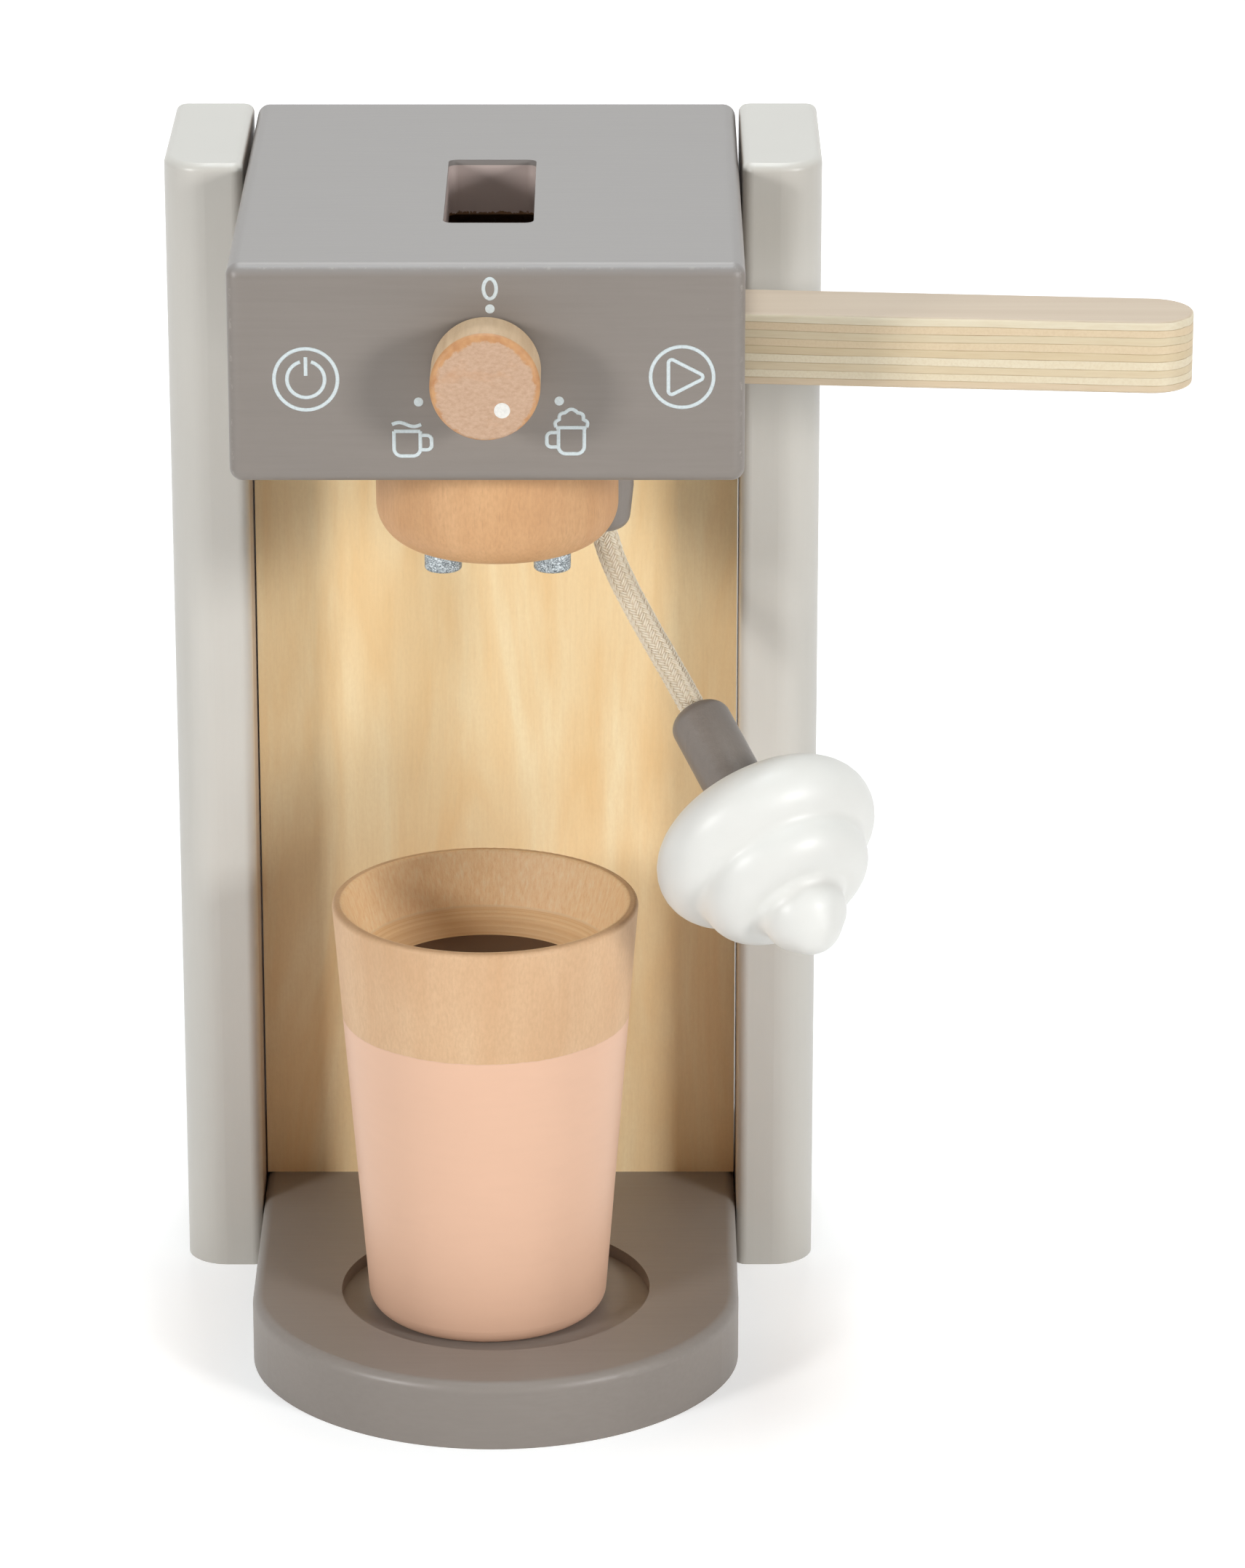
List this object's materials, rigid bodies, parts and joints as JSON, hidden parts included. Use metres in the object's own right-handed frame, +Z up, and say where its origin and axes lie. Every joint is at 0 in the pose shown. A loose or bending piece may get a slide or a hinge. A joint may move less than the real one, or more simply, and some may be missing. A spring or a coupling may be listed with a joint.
{
  "type": "toy coffee maker",
  "caption": "Wooden play coffee machine: boxed head with a knob, swing lever and coffee slot, brew head over a recessed base, loose cup, and milk frother on a rope.",
  "frame": {"origin": "on the surface that the toy stands on, in its middle plane, under the front edges of the two side panels", "axes": "+X to the user's right as they face the knob, +Y to the back, +Z up"},
  "size_m": [0.2267, 0.1585, 0.2674],
  "materials": {
    "grey_paint": "light warm grey paint, satin",
    "taupe_paint": "grey-brown paint, satin",
    "bare_wood": "bare light wood, clear matt varnish",
    "plywood": "birch plywood, clear matt varnish",
    "silver_glitter": "silver glitter paint",
    "white_lacquer": "white lacquer, gloss",
    "peach_paint": "pale peach paint below a bare rim, satin",
    "coffee_paint": "coffee brown paint, matt",
    "cotton_rope": "undyed braided cotton",
    "screw_steel": "zinc plated"
  },
  "bodies": {
    "machine": {"side_panel_left": "grey_paint", "side_panel_right": "grey_paint", "back_panel": "bare_wood", "base_plate": "taupe_paint", "head_top": "taupe_paint", "head_front": "taupe_paint", "head_back": "taupe_paint", "head_side_left": "taupe_paint", "head_side_right": "taupe_paint", "head_floor": "taupe_paint", "base_dowels": "bare_wood", "head_dowels": "bare_wood", "back_panel_dowels": "bare_wood", "brew_head_screws": "screw_steel", "frother_holder_screw": "screw_steel", "brew_head": "bare_wood", "spout_left": "silver_glitter", "spout_right": "silver_glitter", "lever_pivot": "bare_wood", "lever_washer": "bare_wood", "lever_spacer": "bare_wood", "frother_holder": "taupe_paint"},
    "knob": {"knob": "bare_wood", "knob_axle": "bare_wood", "knob_retainer": "bare_wood"},
    "lever": {"lever": "plywood"},
    "cup": {"cup": "peach_paint", "coffee_disc": "coffee_paint"},
    "rope": {"frother_rope": "cotton_rope"},
    "frother": {"frother_handle": "taupe_paint", "frother_pin": "bare_wood", "milk_foam": "white_lacquer"}
  },
  "joints": [
    {"name": "knob_turn", "type": "hinge", "parent": "machine", "child": "knob", "pos_m": [0, -0.084, 0.2448], "axis": [0, -1, 0], "continuous": true},
    {"name": "lever_swing", "type": "hinge", "parent": "machine", "child": "lever", "pos_m": [0.03, -0.0395, 0.2397], "axis": [0, 0, 1], "range_deg": [-25.2, 14.8]},
    {"name": "cup_lift", "type": "slide", "parent": "machine", "child": "cup", "axis": [0, -0.7071, 0.7071], "range_m": [0, 0.12]},
    {"name": "rope_swing", "type": "hinge", "parent": "machine", "child": "rope", "pos_m": [0.0245, -0.018, 0.1884], "axis": [1, 0, 0], "range_deg": [-35, 20], "deforming": ["frother_rope"]},
    {"name": "frother_tilt", "type": "hinge", "parent": "rope", "child": "frother", "pos_m": [0.0453, -0.044, 0.1534], "axis": [1, 0, 0], "range_deg": [-15, 30]}
  ]
}
